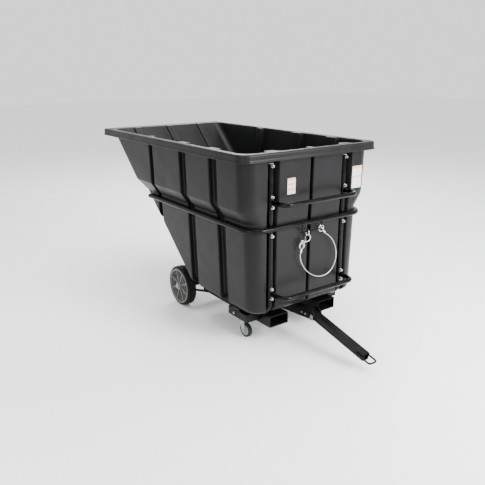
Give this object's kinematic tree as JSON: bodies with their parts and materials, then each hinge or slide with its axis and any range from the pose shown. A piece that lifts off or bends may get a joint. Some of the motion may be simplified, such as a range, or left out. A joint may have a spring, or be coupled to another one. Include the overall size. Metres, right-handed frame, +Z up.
{
  "type": "tilt truck cart",
  "caption": "Tall moulded tub with one sloping end on a tubular frame: two big wheels, swivel casters, fork pockets, handles, a folding tow bar and a safety cable.",
  "frame": {"origin": "centre of the footprint at floor level", "axes": "+X towards the tow bar end, +Y towards the far side, +Z up"},
  "size_m": [2.546, 1.118, 1.281],
  "materials": {
    "tub_plastic": "satin, fine moulded texture",
    "gloss_black": "gloss powder coat",
    "satin_black": "satin powder coat",
    "cap_grey": "satin",
    "zinc": "bright zinc plate",
    "wheel_grey": "satin moulded plastic",
    "tyre_black": "matte rubber",
    "caster_tread": "matte rubber",
    "caster_grey": "satin moulded plastic",
    "cable_wire": "galvanised wire strand",
    "ferrule_metal": "pressed, dull",
    "label_plate": "smooth film"
  },
  "bodies": {
    "chassis": {"tub": "tub_plastic", "side_tube_near": "gloss_black", "side_tube_far": "gloss_black", "belt_rail": "gloss_black", "tube_end_caps": "cap_grey", "upper_handle": "gloss_black", "lower_handle": "gloss_black", "handle_bolts": "zinc", "tub_bolts": "zinc", "fork_pocket_near": "satin_black", "fork_pocket_far": "satin_black", "front_cross_plate": "satin_black", "rear_cross_plate": "satin_black", "caster_mount_near": "satin_black", "caster_mount_far": "satin_black", "axle_bracket_near": "satin_black", "axle_bracket_far": "satin_black", "axle_beam": "satin_black", "axle": "zinc", "axle_spacers": "zinc", "hub_washer_near": "zinc", "cotter_pin_near": "zinc", "hub_washer_far": "zinc", "cotter_pin_far": "zinc", "caster_plate_near": "zinc", "caster_plate_far": "zinc", "caster_fixings": "zinc", "tow_bracket": "satin_black", "tow_pin": "zinc", "tow_pin_clip": "zinc", "tow_bracket_bolts": "zinc", "cable_hoop": "gloss_black", "cable_link": "zinc", "safety_cable": "cable_wire", "cable_eyes": "cable_wire", "cable_thimbles": "zinc", "cable_ferrules": "ferrule_metal", "cable_hook": "zinc", "hook_latch_pin": "zinc", "small_label": "label_plate", "large_label": "label_plate"},
    "near_wheel": {"tyre_near": "tyre_black", "wheel_near": "wheel_grey"},
    "far_wheel": {"tyre_far": "tyre_black", "wheel_far": "wheel_grey"},
    "near_caster_fork": {"caster_fork_near": "zinc", "caster_bolt_near": "zinc"},
    "near_caster_wheel": {"caster_tyre_near": "caster_tread", "caster_hub_near": "caster_grey"},
    "far_caster_fork": {"caster_fork_far": "zinc", "caster_bolt_far": "zinc"},
    "far_caster_wheel": {"caster_tyre_far": "caster_tread", "caster_hub_far": "caster_grey"},
    "tow_arm": {"tow_bar": "satin_black", "tow_loop": "satin_black"},
    "latch": {"hook_latch": "zinc"}
  },
  "joints": [
    {"name": "near_wheel_spin", "type": "hinge", "parent": "chassis", "child": "near_wheel", "pos_m": [-0.316, -0.389, 0.153], "axis": [0, 1, 0], "continuous": true},
    {"name": "far_wheel_spin", "type": "hinge", "parent": "chassis", "child": "far_wheel", "pos_m": [-0.316, 0.389, 0.153], "axis": [0, 1, 0], "continuous": true},
    {"name": "near_caster_swivel", "type": "hinge", "parent": "chassis", "child": "near_caster_fork", "pos_m": [0.394, -0.326, 0.15], "axis": [0, 0, 1], "continuous": true},
    {"name": "near_caster_roll", "type": "hinge", "parent": "near_caster_fork", "child": "near_caster_wheel", "pos_m": [0.42986, -0.32286, 0.051], "axis": [-0.0872, 0.9962, 0], "continuous": true},
    {"name": "far_caster_swivel", "type": "hinge", "parent": "chassis", "child": "far_caster_fork", "pos_m": [0.394, 0.326, 0.15], "axis": [0, 0, 1], "continuous": true},
    {"name": "far_caster_roll", "type": "hinge", "parent": "far_caster_fork", "child": "far_caster_wheel", "pos_m": [0.42986, 0.32914, 0.051], "axis": [-0.0872, 0.9962, 0], "continuous": true},
    {"name": "tow_bar_fold", "type": "hinge", "parent": "chassis", "child": "tow_arm", "pos_m": [0.764, 0, 0.192], "axis": [0, -1, 0], "range_deg": [0, 80]},
    {"name": "hook_latch_open", "type": "hinge", "parent": "chassis", "child": "latch", "pos_m": [0.70286, -0.059, 0.7006], "axis": [-1, 0, 0], "range_deg": [0, 30], "stiffness_Nm_per_rad": 0.02}
  ]
}
